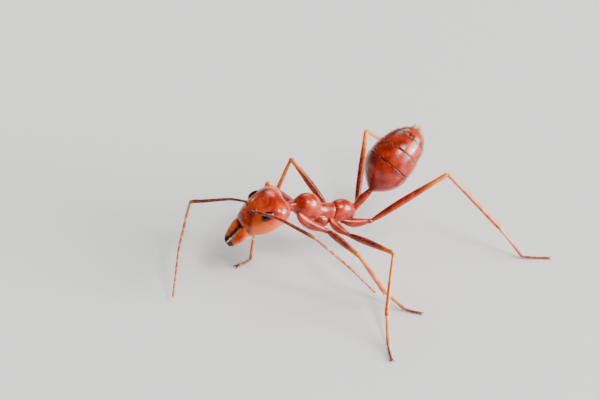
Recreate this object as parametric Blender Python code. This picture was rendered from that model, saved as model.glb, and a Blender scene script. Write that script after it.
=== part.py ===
"""A weaver ant, a major worker, standing with its gaster raised: one closed solid for each body part.

Metres, +Z up. The head points towards -Y and the ant's left side towards +X. Sizes below are in
millimetres, measured in the ant's own directions, and each mesh is scaled to metres as it is made.
"""
import math

import bpy
from mathutils import Matrix, Vector

MM = 0.001

# Clearances and facets
GAP = 0.05              # between two neighbouring solids
LIMB_HALF = 0.25        # half thickness of a leg or feeler solid
LIMB_SIDES = 8
BODY_SIDES = 16
FLAT_TURN = math.pi / LIMB_SIDES   # turns a limb's ring so that one flat points down

# Thorax: a tilted middle line with three plates along it
THORAX_HEIGHT = 2.25
THORAX_PITCH = 16.0
WAIST_AT = 1.22
PRONOTUM_END = -0.22
MESOTHORAX_END = 0.38

# Head: its own level line starts above the neck
HEAD_ORIGIN = (0.0, -1.41, 3.10)
HEAD_PITCH = 24.0
HEAD_LENGTH = 1.78
HEAD_HALF_WIDTH = 0.86
HEAD_HALF_HEIGHT = 0.60
EYE_AT = (0.655, 0.87, 0.365)      # left, forward, up
EYE_HALF = (0.17, 0.26, 0.20)
EYE_RINGS = 7
SOCKET_AT = (0.22, 1.20, 0.50)
SCAPE_START = 0.35      # share of its first length by which the scape's solid clears the head
MANDIBLE_START_UP = -0.06
MANDIBLE_LENGTH = 0.66
MANDIBLE_DROP = 0.24
MANDIBLE_SIDE = 0.265
MANDIBLE_INNER = 0.235
# Share of the length, half width and half height of each ring of a jaw
MANDIBLE_RINGS = ((0.0, 0.24, 0.26), (0.45, 0.24, 0.24), (0.8, 0.225, 0.19), (1.0, 0.17, 0.12))

# Waist and gaster
PETIOLE_LIFT = 47.0
PETIOLE_LENGTH = 1.00
PETIOLE_ROOT = 0.06     # how far the petiole starts inside the propodeum before it is trimmed
PETIOLE_DROP = 0.10     # how far it starts below the thorax's middle line
PETIOLE_HALF = 0.25
PETIOLE_NODE_HALF = (0.27, 0.30)
PETIOLE_CLEAR = 0.13    # how far short of the gaster's root it stops, as the two lie at an angle
GASTER_LIFT = 38.0
GASTER_TURN = 17.0      # how far the gaster swings towards the ant's right
GASTER_ARCH = 0.13      # how far its middle rises above its straight line
GASTER_LENGTH = 2.67
GASTER_HALF = 0.88
GASTER_WIDEST = 0.42
GASTER_ROOT = 0.30
GASTER_TIP = 0.14
GASTER_SEAMS = (0.0, 0.385, 0.625, 0.84, 1.0)
GASTER_FLATNESS = 0.97
GASTER_SHOULDER = 2.4   # how sharply the gaster swells from its root
GASTER_BLUNTNESS = 2.0  # how round its hind end is

# Legs: where each pair starts on the thorax (out, back, up), and its segments' lengths
HIP = {"fore": (0.33, -0.72, -0.32), "mid": (0.34, 0.40, -0.45), "hind": (0.33, 1.00, -0.38)}
LENGTHS = {
    "fore": {"coxa": 0.84, "femur": 2.10, "tibia": 1.95, "basitarsus": 0.85, "toes": 0.70},
    "mid": {"coxa": 0.66, "femur": 2.30, "tibia": 2.20, "basitarsus": 1.10, "toes": 0.85},
    "hind": {"coxa": 0.78, "femur": 3.15, "tibia": 2.85, "basitarsus": 1.30, "toes": 1.05},
}
# Each segment's heading and lift in degrees. Heading 0 is forward, 90 is the ant's left, 180 is back.
POSE = {
    "fore_left": {"coxa": (152, -23), "femur": (97, 11), "tibia": (163, -60), "feet": (128, 143)},
    "mid_left": {"coxa": (125, -12), "femur": (110, 14), "tibia": (59, -47), "feet": (70, 77)},
    "hind_left": {"coxa": (162, 6), "femur": (172, 31), "tibia": (147, -47), "feet": (146, 159)},
    "fore_right": {"coxa": (-168, -47), "femur": (-36, 39), "tibia": (34, -68), "feet": (50, 12)},
    "mid_right": {"coxa": (-125, -24), "femur": (-52, 47), "tibia": (4, -69), "feet": (-50, -85)},
    "hind_right": {"coxa": (-157, -5), "femur": (-119, 19), "tibia": (-163, -46), "feet": (-120, -112)},
}
# Feelers: each leg of the way from the socket as (heading, lift, length)
SCAPE = {
    "left": ((84, 33, 0.62), (136, -1, 0.74), (127, -10, 1.52)),
    "right": ((-57, -6, 0.62), (-52, -26, 1.95)),
}
FUNICULUS = {
    "left": ((140, -37, 1.70), (164, -52, 1.35)),
    "right": ((55, -27, 1.76), (61, -34, 1.86)),
}

# Colour, roughness and metallic value of each kind of plate
SKINS = {
    "chitin_red": ((0.52, 0.085, 0.012, 1.0), 0.28, 0.0),
    "chitin_amber": ((0.66, 0.20, 0.025, 1.0), 0.32, 0.0),
    "chitin_gaster": ((0.40, 0.05, 0.012, 1.0), 0.25, 0.0),
    "chitin_feeler": ((0.58, 0.17, 0.05, 1.0), 0.40, 0.0),
    "eye_black": ((0.010, 0.008, 0.008, 1.0), 0.15, 0.0),
}


def heading(yaw, lift):
    """The unit direction with this heading and lift."""
    flat = math.cos(math.radians(lift))
    turn = math.radians(yaw)
    return Vector((math.sin(turn) * flat, -math.cos(turn) * flat, math.sin(math.radians(lift))))


def skin(name):
    """The Principled material of this name, made once."""
    if name in bpy.data.materials:
        return bpy.data.materials[name]
    colour, roughness, metallic = SKINS[name]
    material = bpy.data.materials.new(name)
    material.use_nodes = True
    shader = material.node_tree.nodes["Principled BSDF"]
    shader.inputs["Base Color"].default_value = colour
    shader.inputs["Roughness"].default_value = roughness
    shader.inputs["Metallic"].default_value = metallic
    return material


def add_solid(name, rings, skin_name, cutter=False):
    """Close a row of vertex rings into one solid. A cutter is hidden and only trims its neighbours."""
    sides = len(rings[0])
    vertices = [point * MM for ring in rings for point in ring]
    faces = []
    for row in range(len(rings) - 1):
        for side in range(sides):
            here = row * sides + side
            beside = row * sides + (side + 1) % sides
            faces.append((here, beside, beside + sides, here + sides))
    faces.append(tuple(reversed(range(sides))))
    faces.append(tuple(range((len(rings) - 1) * sides, len(rings) * sides)))
    mesh = bpy.data.meshes.new(name)
    mesh.from_pydata(vertices, [], faces)
    mesh.shade_smooth()
    mesh.set_sharp_from_angle(angle=math.radians(50))
    solid = bpy.data.objects.new(name, mesh)
    bpy.context.scene.collection.objects.link(solid)
    solid.data.materials.append(skin(skin_name))
    if cutter:
        solid.hide_render = True
        solid.display_type = "WIRE"
    return solid


def trim(solid, cutters):
    """Cut the solid where it comes closer than the gap to its neighbours."""
    for cutter in cutters:
        cut = solid.modifiers.new("clear_of_" + cutter.name, "BOOLEAN")
        cut.operation = "DIFFERENCE"
        cut.solver = "EXACT"
        cut.object = cutter


def body_rings(frame, stations, grow=0.0):
    """Oval rings along a frame's forward line, one for each (forward, up, half width, half height)."""
    rings = []
    for place, (forward, up, half_width, half_height) in enumerate(sorted(stations)):
        outward = {0: -grow, len(stations) - 1: grow}.get(place, 0.0)
        ring = []
        for side in range(BODY_SIDES):
            turn = 2 * math.pi * (side + 0.5) / BODY_SIDES
            across = (half_width + grow) * math.cos(turn)
            above = up + (half_height + grow) * math.sin(turn)
            ring.append(frame @ Vector((across, -(forward + outward), above)))
        rings.append(ring)
    return rings


def tube_rings(points, half, before=None, after=None, grow=0.0):
    """Rings of a limb along its points, cut on the bisecting plane wherever its direction changes."""
    points = [Vector(point) for point in points]
    runs = [(b - a).normalized() for a, b in zip(points, points[1:])]
    circumradius = (half + grow) / math.cos(FLAT_TURN)
    rings = []
    for place, point in enumerate(points):
        last = place == len(points) - 1
        run = runs[place - 1] if last else runs[place]
        arriving = runs[place - 1] if place else (before or run)
        leaving = (after or run) if last else runs[place]
        normal = (arriving + leaving).normalized()
        side_axis = run.cross(Vector((0, 0, 1))).normalized()
        up_axis = side_axis.cross(run)
        inset = {0: GAP / 2 - grow, len(points) - 1: grow - GAP / 2}.get(place, 0.0)
        ring = []
        for side in range(LIMB_SIDES):
            turn = -2 * math.pi * side / LIMB_SIDES + FLAT_TURN
            offset = circumradius * (side_axis * math.cos(turn) + up_axis * math.sin(turn))
            slide = (inset - offset.dot(normal)) / run.dot(normal)
            ring.append(point + offset + run * slide)
        rings.append(ring)
    return rings


def thorax_frame():
    """Where the thorax's own frame lies: its middle line, nose up."""
    tilt = Matrix.Rotation(math.radians(-THORAX_PITCH), 4, "X")
    return Matrix.Translation((0, 0, THORAX_HEIGHT)) @ tilt


def head_frame():
    """Where the head's own frame lies: forward is its -Y, nose down."""
    tilt = Matrix.Rotation(math.radians(HEAD_PITCH), 4, "X")
    return Matrix.Translation(HEAD_ORIGIN) @ tilt


def make_head():
    """The head capsule, broad behind the eyes and narrow at the mouth."""
    frame = head_frame()
    width, height = HEAD_HALF_WIDTH, HEAD_HALF_HEIGHT
    stations = [
        (0.00, 0.02, 0.50 * width, 0.42 * height),
        (0.10, 0.02, 0.74 * width, 0.66 * height),
        (0.30, 0.02, 0.92 * width, 0.86 * height),
        (0.60, 0.02, 1.00 * width, 0.98 * height),
        (0.90, 0.01, 0.98 * width, 1.00 * height),
        (1.20, 0.00, 0.89 * width, 0.92 * height),
        (1.50, -0.03, 0.76 * width, 0.76 * height),
        (HEAD_LENGTH, -0.08, 0.60 * width, 0.54 * height),
    ]
    head = add_solid("head", body_rings(frame, stations), "chitin_red")
    clearance = add_solid("head_clearance", body_rings(frame, stations, GAP), "chitin_red", cutter=True)
    return head, clearance


def make_eye(side, sign, head_clearance):
    """One bulging oval eye, trimmed where it would enter the head."""
    frame = head_frame() @ Matrix.Translation((sign * EYE_AT[0], -EYE_AT[1], EYE_AT[2]))
    half_width, half_length, half_height = EYE_HALF
    stations = []
    for ring in range(EYE_RINGS):
        turn = math.pi * (ring + 0.5) / EYE_RINGS
        bulge = math.sin(turn)
        stations.append((-half_length * math.cos(turn), 0.0, half_width * bulge, half_height * bulge))
    eye = add_solid("eye_" + side, body_rings(frame, stations), "eye_black")
    grown = body_rings(frame, stations, GAP)
    clearance = add_solid("eye_" + side + "_clearance", grown, "eye_black", cutter=True)
    trim(eye, [head_clearance])
    return clearance


def make_mandible(side, sign):
    """One closed jaw: a thick base and a blade that curves in to its tip."""
    start = HEAD_LENGTH + GAP
    frame = head_frame() @ Matrix.Translation((sign * MANDIBLE_SIDE, 0, 0))
    rings = []
    for share, half_width, half_height in MANDIBLE_RINGS:
        inward = -sign * max(0.0, MANDIBLE_INNER - half_width)
        lean = frame @ Matrix.Translation((inward, 0, 0))
        forward = start + share * MANDIBLE_LENGTH
        up = MANDIBLE_START_UP - share * MANDIBLE_DROP
        rings += body_rings(lean, [(forward, up, half_width, half_height)])
    add_solid("mandible_" + side, rings, "chitin_amber")


def make_feeler(side, sign, cutters):
    """The long first segment and the bent whip of one antenna."""
    socket = head_frame() @ Vector((sign * SOCKET_AT[0], -SOCKET_AT[1], SOCKET_AT[2]))
    scape = [socket]
    for yaw, lift, length in SCAPE[side]:
        scape.append(scape[-1] + heading(yaw, lift) * length)
    whip = [scape[-1]]
    for yaw, lift, length in FUNICULUS[side]:
        whip.append(whip[-1] + heading(yaw, lift) * length)
    scape_end = heading(*SCAPE[side][-1][:2])
    whip_start = heading(*FUNICULUS[side][0][:2])
    scape[0] = scape[0].lerp(scape[1], SCAPE_START)
    solid = add_solid("scape_" + side, tube_rings(scape, LIMB_HALF, after=whip_start), "chitin_amber")
    trim(solid, cutters)
    add_solid("funiculus_" + side, tube_rings(whip, LIMB_HALF, before=scape_end), "chitin_feeler")


def make_thorax(head_clearance):
    """Pronotum with its neck, the saddle of the mesothorax, and the domed propodeum."""
    frame = thorax_frame()
    plates = {
        "pronotum": [
            (1.50, 0.10, 0.15, 0.15),
            (1.14, 0.12, 0.26, 0.28),
            (0.98, 0.14, 0.38, 0.41),
            (0.72, 0.14, 0.46, 0.49),
            (0.45, 0.08, 0.42, 0.49),
            (-PRONOTUM_END + GAP, 0.00, 0.33, 0.44),
        ],
        "mesothorax": [
            (-PRONOTUM_END, -0.10, 0.32, 0.42),
            (0.00, -0.17, 0.33, 0.44),
            (-MESOTHORAX_END + GAP, -0.13, 0.31, 0.40),
        ],
        "propodeum": [
            (-MESOTHORAX_END, -0.08, 0.31, 0.37),
            (-0.58, -0.04, 0.37, 0.42),
            (-0.85, -0.03, 0.38, 0.42),
            (-1.08, -0.07, 0.32, 0.34),
            (-WAIST_AT, -0.10, 0.25, 0.25),
        ],
    }
    clearances = []
    for name, stations in plates.items():
        plate = add_solid(name, body_rings(frame, stations), "chitin_red")
        grown = body_rings(frame, stations, GAP)
        clearances.append(add_solid(name + "_clearance", grown, "chitin_red", cutter=True))
        if name == "pronotum":
            trim(plate, [head_clearance])
    return clearances


def gaster_half(share):
    """Half the gaster's width at this share of its length: a swollen egg with a blunt tip."""
    if share < GASTER_WIDEST:
        fall = ((GASTER_WIDEST - share) / GASTER_WIDEST) ** GASTER_SHOULDER
        return GASTER_HALF - (GASTER_HALF - GASTER_ROOT) * fall
    fall = (share - GASTER_WIDEST) / (1 - GASTER_WIDEST)
    return GASTER_TIP + (GASTER_HALF - GASTER_TIP) * math.sqrt(max(0.0, 1 - fall ** GASTER_BLUNTNESS))


def make_waist_and_gaster(propodeum_clearance):
    """The slim petiole with its low node, and the four rings of the raised gaster."""
    start = thorax_frame() @ Vector((0, WAIST_AT - PETIOLE_ROOT, -PETIOLE_DROP))
    full = PETIOLE_LENGTH + PETIOLE_ROOT
    end = start + heading(180, PETIOLE_LIFT) * full
    about = Matrix.Rotation(math.radians(180), 4, "Z")
    stations = [
        (0.0, 0.0, PETIOLE_HALF, PETIOLE_HALF),
        (0.42 * full, 0.02, PETIOLE_HALF, PETIOLE_HALF + 0.01),
        (0.64 * full, 0.05, *PETIOLE_NODE_HALF),
        (full - PETIOLE_CLEAR, 0.0, PETIOLE_HALF, PETIOLE_HALF),
    ]
    frame = Matrix.Translation(start) @ about @ Matrix.Rotation(math.radians(-PETIOLE_LIFT), 4, "X")
    petiole = add_solid("petiole", body_rings(frame, stations), "chitin_red")
    trim(petiole, [propodeum_clearance])
    about = Matrix.Rotation(math.radians(180 + GASTER_TURN), 4, "Z")
    frame = Matrix.Translation(end) @ about @ Matrix.Rotation(math.radians(-GASTER_LIFT), 4, "X")
    for number, (first, last) in enumerate(zip(GASTER_SEAMS, GASTER_SEAMS[1:]), 1):
        steps = 5 if number == 1 else 3
        stations = []
        for step in range(steps + 1):
            share = first + (last - first) * step / steps
            half = gaster_half(share)
            forward = share * GASTER_LENGTH - (GAP if step == steps else 0.0)
            up = GASTER_ARCH * math.sin(math.pi * share)
            stations.append((forward, up, half, half * GASTER_FLATNESS))
        add_solid("gaster_" + str(number), body_rings(frame, stations), "chitin_gaster")


def leg_points(leg):
    """The leg's joints from hip to toe tip. The basitarsus comes down to the toes, which lie level."""
    pair, side = leg.split("_")
    out, back, up = HIP[pair]
    lengths, pose = LENGTHS[pair], POSE[leg]
    points = [thorax_frame() @ Vector((out if side == "left" else -out, back, up))]
    for segment in ("coxa", "femur", "tibia"):
        points.append(points[-1] + heading(*pose[segment]) * lengths[segment])
    drop = points[-1].z - LIMB_HALF
    basitarsus_lift = -math.degrees(math.asin(drop / lengths["basitarsus"]))
    points.append(points[-1] + heading(pose["feet"][0], basitarsus_lift) * lengths["basitarsus"])
    points.append(points[-1] + heading(pose["feet"][1], 0) * lengths["toes"])
    return points


def make_leg(leg, cutters):
    """One leg's five solids, each mitred against the next. Returns its coxa's clearance."""
    points = leg_points(leg)
    runs = [(b - a).normalized() for a, b in zip(points, points[1:])]
    names = ("coxa", "femur", "tibia", "basitarsus", "toes")
    skins = ("chitin_red", "chitin_red", "chitin_amber", "chitin_amber", "chitin_red")
    clearance = None
    for place, name in enumerate(names):
        ends = points[place:place + 2]
        before = runs[place - 1] if place else None
        after = runs[place + 1] if place < len(names) - 1 else None
        solid = add_solid(name + "_" + leg, tube_rings(ends, LIMB_HALF, before, after), skins[place])
        if name == "coxa":
            trim(solid, cutters)
            grown = tube_rings(ends, LIMB_HALF, before, after, GAP)
            clearance = add_solid("coxa_" + leg + "_clearance", grown, skins[place], cutter=True)
    return clearance


def stand_on_origin():
    """Move every solid so that the origin is under the middle of the ant's box, on the floor."""
    solids = [item for item in bpy.data.objects if not item.hide_render]
    corners = [vertex.co for item in solids for vertex in item.data.vertices]
    low = Vector([min(corner[axis] for corner in corners) for axis in range(3)])
    high = Vector([max(corner[axis] for corner in corners) for axis in range(3)])
    shift = -Vector(((low.x + high.x) / 2, (low.y + high.y) / 2, low.z))
    for item in bpy.data.objects:
        item.data.transform(Matrix.Translation(shift))


def main():
    for item in list(bpy.data.objects):
        bpy.data.objects.remove(item, do_unlink=True)
    head, head_clearance = make_head()
    pronotum_clearance, mesothorax_clearance, propodeum_clearance = make_thorax(head_clearance)
    make_waist_and_gaster(propodeum_clearance)
    for side, sign in (("left", 1), ("right", -1)):
        eye_clearance = make_eye(side, sign, head_clearance)
        make_mandible(side, sign)
        make_feeler(side, sign, [head_clearance, eye_clearance])
    for side in ("left", "right"):
        coxae = []
        for pair in ("fore", "mid", "hind"):
            plates = [pronotum_clearance, mesothorax_clearance, propodeum_clearance]
            coxae.append(make_leg(pair + "_" + side, plates + coxae[-1:]))
    stand_on_origin()


main()
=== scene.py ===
# %% [markdown]
# # A weaver ant, a major worker, standing with its gaster raised
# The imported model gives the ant's size, its pose and the place of every body part. This file gives
# each part its true surface: thin polished plates of chitin, jointed limbs, faceted eyes, toothed
# jaws and fine hairs. Lengths in the cells are in millimetres, which suits an animal 9 mm long, and
# every piece is brought to metres when it is put in its place.

# %% Load the frame
import math
import random
from contextlib import contextmanager

import bpy
from mathutils import Matrix, Vector
from mathutils.bvhtree import BVHTree
from mathutils.geometry import area_tri


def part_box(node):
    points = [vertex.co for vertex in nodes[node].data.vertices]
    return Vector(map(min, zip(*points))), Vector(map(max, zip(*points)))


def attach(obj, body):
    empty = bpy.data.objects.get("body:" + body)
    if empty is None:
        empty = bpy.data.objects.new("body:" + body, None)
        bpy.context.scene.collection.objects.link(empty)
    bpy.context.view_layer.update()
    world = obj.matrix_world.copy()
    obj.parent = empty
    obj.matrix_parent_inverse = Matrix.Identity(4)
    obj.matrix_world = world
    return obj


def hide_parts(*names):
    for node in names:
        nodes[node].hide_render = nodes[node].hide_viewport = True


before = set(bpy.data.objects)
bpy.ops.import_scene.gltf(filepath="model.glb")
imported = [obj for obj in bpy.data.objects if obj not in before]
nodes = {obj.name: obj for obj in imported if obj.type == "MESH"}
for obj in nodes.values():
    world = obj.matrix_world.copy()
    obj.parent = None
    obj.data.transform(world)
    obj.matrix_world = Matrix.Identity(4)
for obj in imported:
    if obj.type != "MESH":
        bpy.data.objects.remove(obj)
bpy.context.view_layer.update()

MM = 0.001

# %% [markdown]
# ## Reading places from the frame
# Each CAD solid ends in flat caps. The middle of a cap is a joint of the ant, so a joint is found by
# grouping a solid's triangles into flat faces and keeping those of many triangles. Nothing is measured
# twice: when a solid moves, the skin follows it.


# %% Caps of a CAD solid
SAME_WAY = 0.9998
SAME_PLANE = 0.000004


def caps(node, least=5):
    """The flat ends of a solid with at least this many triangles, as (middle, outward normal)."""
    groups = []
    mesh = nodes[node].data
    for face in mesh.polygons:
        corners = [mesh.vertices[index].co for index in face.vertices]
        for group in groups:
            off_plane = (corners[0] - group["corners"][0]).dot(group["normal"])
            if group["normal"].dot(face.normal) > SAME_WAY and abs(off_plane) < SAME_PLANE:
                group["corners"] += corners
                group["count"] += 1
                break
        else:
            groups.append({"normal": face.normal.copy(), "corners": corners, "count": 1})
    found = []
    for group in groups:
        if group["count"] >= least:
            unique = {tuple(round(value, 7) for value in corner): corner for corner in group["corners"]}
            middle = sum(unique.values(), Vector()) / len(unique)
            found.append((middle, group["normal"]))
    return found


def middle_of(node):
    """The middle of a solid's box."""
    low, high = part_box(node)
    return (low + high) / 2


def cap_near(node, place):
    """The middle of the solid's cap that is nearest to this place."""
    return min((middle for middle, normal in caps(node)), key=lambda middle: (middle - place).length)


def cap_far(node, place):
    """The middle of the solid's cap that is furthest from this place."""
    return max((middle for middle, normal in caps(node)), key=lambda middle: (middle - place).length)


# %% [markdown]
# ## Floor, light and camera
# The ant stands on a plain pale floor. A wide soft lamp low behind its left side gives the long sheen
# on the gloss, a small one beside it gives the sparks of light, and two weaker ones fill the shadows.
# An even light from above keeps the floor pale. The camera looks down on the ant's left side through
# a long lens from far away, because a close lens would swell the near legs.

# %% Helpers for nodes and directions
def new_material(name):
    """A new material, with its node tree and its Principled shader."""
    material = bpy.data.materials.new(name)
    material.use_nodes = True
    return material, material.node_tree, material.node_tree.nodes["Principled BSDF"]


def feed(socket, value):
    """Link an output to this input socket, or give it a plain value."""
    if isinstance(value, bpy.types.NodeSocket):
        socket.id_data.links.new(value, socket)
    else:
        socket.default_value = value


def set_inputs(node, **values):
    """Feed a node's inputs by name, with _ for each space in the name."""
    for label, value in values.items():
        feed(node.inputs[label.replace("_", " ")], value)


def add_node(tree, kind, **values):
    """A new shader node of this kind, with its inputs fed."""
    node = tree.nodes.new("ShaderNode" + kind)
    set_inputs(node, **values)
    return node


def looking(azimuth, elevation):
    """The direction from the ant to whoever looks at it from this side and height, in degrees."""
    turn, rise = math.radians(azimuth), math.radians(elevation)
    return Vector((math.sin(turn) * math.cos(rise), -math.cos(turn) * math.cos(rise), math.sin(rise)))


def turned_to(direction):
    """The rotation that lays +Z along this direction."""
    return direction.to_track_quat("Z", "Y").to_matrix().to_4x4()


# %% Floor and sky
FLOOR_SIZE = 2.0
FLOOR_COLOUR = (0.56, 0.555, 0.54, 1)
SKY_COLOUR = (0.95, 0.96, 1.0, 1)
SKY_LIGHT = 0.20
SKY_SEEN = 0.80

for item in [item for item in bpy.data.objects if item.type in {"LIGHT", "CAMERA"}]:
    bpy.data.objects.remove(item)
pale_floor, _, floor_shader = new_material("pale_floor")
set_inputs(floor_shader, Base_Color=FLOOR_COLOUR, Roughness=0.7)
bpy.ops.mesh.primitive_plane_add(size=FLOOR_SIZE)
floor = bpy.context.object
floor.name = "studio_floor"
floor.data.materials.append(pale_floor)

world = bpy.data.worlds.new("studio")
bpy.context.scene.world = world
world.use_nodes = True
seen = add_node(world.node_tree, "LightPath").outputs["Is Camera Ray"]
sky_level = add_node(world.node_tree, "MapRange", Value=seen, To_Min=SKY_LIGHT, To_Max=SKY_SEEN)
set_inputs(
    world.node_tree.nodes["Background"], Color=SKY_COLOUR, Strength=sky_level.outputs["Result"])
print("floor:", floor.name, "sky:", world.name)


# %% Lamps
def soft_lamp(name, azimuth, elevation, distance, wide, tall, power):
    """An area lamp that looks at the ant from this direction."""
    back = looking(azimuth, elevation)
    bpy.ops.object.light_add(type="AREA", location=back * distance)
    lamp = bpy.context.object
    lamp.name = name
    lamp.rotation_euler = turned_to(back).to_euler()
    lamp.data.shape = "RECTANGLE"
    lamp.data.size = wide
    lamp.data.size_y = tall
    lamp.data.energy = power
    lamp.visible_camera = False


soft_lamp("key_lamp", azimuth=146, elevation=21, distance=0.56, wide=0.50, tall=0.36, power=11.5)
soft_lamp("spark_lamp", azimuth=144, elevation=12, distance=0.48, wide=0.055, tall=0.055, power=2.2)
soft_lamp("top_lamp", azimuth=108, elevation=58, distance=0.40, wide=0.10, tall=0.10, power=1.5)
soft_lamp("rim_lamp", azimuth=-110, elevation=35, distance=0.48, wide=0.20, tall=0.20, power=0.64)
bpy.ops.object.light_add(type="SUN", location=(0, 0, 0.2), rotation=(math.radians(38), 0, math.radians(160)))
even_light = bpy.context.object
even_light.name = "even_light"
even_light.data.energy = 0.70
even_light.data.angle = math.radians(60)
even_light.visible_glossy = False

# %% Camera
CAMERA_AZIMUTH = 66.0
CAMERA_ELEVATION = 38.0
CAMERA_ROLL = 2.0
CAMERA_DISTANCE = 0.168
CAMERA_LENS = 291.7
AIM_FROM_NECK = Vector((-0.044, -0.091, 0.375)) * MM
neck_place = middle_of("pronotum")
back = looking(CAMERA_AZIMUTH, CAMERA_ELEVATION)
bpy.ops.object.camera_add(location=neck_place + AIM_FROM_NECK + back * CAMERA_DISTANCE)
camera = bpy.context.object
roll = Matrix.Rotation(math.radians(CAMERA_ROLL), 4, back)
camera.matrix_world = Matrix.Translation(camera.location) @ roll @ turned_to(back)
camera.data.lens = CAMERA_LENS
camera.data.clip_start = 0.01
camera.data.clip_end = 10
bpy.context.scene.camera = camera
print("pronotum middle:", [round(value / MM, 3) for value in neck_place], "mm")

# %% [markdown]
# ## Tools for shaping
# Every piece starts as a simple shape and is worked in edit mode, as by hand: a ring of points is
# extruded along the part, moved and scaled at each step, and rounded by subdivision. The steps are
# the same for a leg and for a head, so they are written once here.


# %% Selecting, editing and rounding
def only(piece):
    """Select one object alone and make it the active one."""
    bpy.ops.object.select_all(action="DESELECT")
    piece.select_set(True)
    bpy.context.view_layer.objects.active = piece


def apply_modifier(piece, kind, **settings):
    """Add a modifier, set it and apply it."""
    only(piece)
    modifier = piece.modifiers.new(kind.lower(), kind)
    for name, value in settings.items():
        setattr(modifier, name, value)
    bpy.ops.object.modifier_apply(modifier=modifier.name)


def smooth(piece, levels=1):
    """Round the piece by subdivision, and shade it smooth."""
    if levels:
        apply_modifier(piece, "SUBSURF", levels=levels, render_levels=levels)
    only(piece)
    bpy.ops.object.shade_smooth()


@contextmanager
def editing(piece, chosen=None):
    """Edit a piece with all of it selected, or only the faces chosen by their centre and normal."""
    only(piece)
    bpy.ops.object.mode_set(mode="EDIT")
    bpy.ops.mesh.select_all(action="DESELECT" if chosen else "SELECT")
    if chosen:
        bpy.ops.object.mode_set(mode="OBJECT")
        for face in piece.data.polygons:
            face.select = chosen(face.center, face.normal)
        bpy.ops.object.mode_set(mode="EDIT")
    yield
    bpy.ops.object.mode_set(mode="OBJECT")


# %% Round bodies, tubes, rims and balls
WELD = 0.00001


def loft(name, rows, sides=16, levels=1):
    """A closed round body along +Z from rows of (along, half x, half y, shift y, shift x), in mm.

    The shifts may be left out of a row, and are then 0.
    """
    stations = [(*row, 0, 0)[:5] for row in rows]
    along, half_x, half_y, shift_y, shift_x = stations[0]
    centre = Vector((shift_x, shift_y, along))
    bpy.ops.mesh.primitive_circle_add(vertices=sides, radius=1, fill_type="NGON", location=centre)
    piece = bpy.context.object
    piece.name = name
    with editing(piece):
        bpy.ops.transform.resize(value=(half_x, half_y, 1), center_override=centre)
        for before, after in zip(stations, stations[1:]):
            move = Vector((after[4] - before[4], after[3] - before[3], after[0] - before[0]))
            centre += move
            bpy.ops.mesh.extrude_region_move(TRANSFORM_OT_translate={"value": move})
            widen = (after[1] / before[1], after[2] / before[2], 1)
            bpy.ops.transform.resize(value=widen, center_override=centre)
        bpy.ops.mesh.select_all(action="SELECT")
        bpy.ops.mesh.normals_make_consistent(inside=False)
    bpy.ops.object.transform_apply(location=True, rotation=True, scale=True)
    smooth(piece, levels)
    return piece


def tube(name, points, radii, sides=2, resolution=5):
    """A tapering round tube through these points, as a mesh. Sides: 2 gives 12 round the tube."""
    curve = bpy.data.curves.new(name, "CURVE")
    curve.dimensions = "3D"
    curve.bevel_depth = 1.0
    curve.bevel_resolution = sides
    curve.use_fill_caps = True
    curve.resolution_u = resolution
    spline = curve.splines.new("NURBS")
    spline.points.add(len(points) - 1)
    for point, place, radius in zip(spline.points, points, radii):
        point.co = (*place, 1)
        point.radius = radius
    spline.use_endpoint_u = True
    spline.order_u = 3
    piece = bpy.data.objects.new(name, curve)
    bpy.context.scene.collection.objects.link(piece)
    only(piece)
    bpy.ops.object.convert(target="MESH")
    piece = bpy.context.object
    with editing(piece):
        bpy.ops.mesh.remove_doubles(threshold=WELD)
        bpy.ops.mesh.normals_make_consistent(inside=False)
    bpy.ops.object.shade_smooth()
    return piece


def torus(major, minor, around, across):
    """A smooth round rim in the XY plane."""
    bpy.ops.mesh.primitive_torus_add(
        major_radius=major, minor_radius=minor, major_segments=around, minor_segments=across)
    bpy.ops.object.shade_smooth()
    return bpy.context.object


def ball(radius, around, across):
    """A smooth sphere with its poles on Z."""
    bpy.ops.mesh.primitive_uv_sphere_add(segments=around, ring_count=across, radius=radius)
    bpy.ops.object.shade_smooth()
    return bpy.context.object


# %% Copying, moving and joining
def copy_of(piece, name):
    """A copy with its own mesh."""
    only(piece)
    bpy.ops.object.duplicate()
    twin = bpy.context.object
    twin.name = name
    return twin


def stretch(piece, x, y, z):
    """Scale the piece's own shape about its middle."""
    with editing(piece):
        bpy.ops.transform.resize(value=(x, y, z), center_override=(0, 0, 0))


def move_by(piece, matrix):
    """Bake a matrix into the piece's mesh, and keep its faces outward if the matrix mirrors it."""
    only(piece)
    piece.matrix_world = matrix
    bpy.ops.object.transform_apply(location=True, rotation=True, scale=True)
    if matrix.to_3x3().determinant() < 0:
        with editing(piece):
            bpy.ops.mesh.normals_make_consistent(inside=False)


def join(name, pieces):
    """One object out of several."""
    only(pieces[0])
    for piece in pieces:
        piece.select_set(True)
    if len(pieces) > 1:
        bpy.ops.object.join()
    whole = bpy.context.object
    whole.name = name
    whole.data.name = name
    return whole


# %% Shaping a surface
def pull(piece, at, by, reach):
    """Drag the surface near a place, with a soft falloff, as with proportional editing."""
    with editing(piece, lambda centre, normal: False):
        bpy.ops.object.mode_set(mode="OBJECT")
        near = min(piece.data.vertices, key=lambda vertex: (vertex.co - Vector(at)).length)
        near.select = True
        bpy.ops.object.mode_set(mode="EDIT")
        bpy.ops.transform.translate(
            value=by, use_proportional_edit=True, proportional_size=reach,
            proportional_edit_falloff="SMOOTH")


def inset_twice(first, second, each=False):
    """Inset the selected faces twice, each time by (width, depth), as one patch or each face alone."""
    for width, depth in (first, second):
        bpy.ops.mesh.inset(thickness=width, depth=depth, use_individual=each)


def ray_tree(piece):
    """The piece's surface, for finding where a ray meets it."""
    mesh = piece.data
    corners = [vertex.co for vertex in mesh.vertices]
    return BVHTree.FromPolygons(corners, [face.vertices[:] for face in mesh.polygons])


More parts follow.
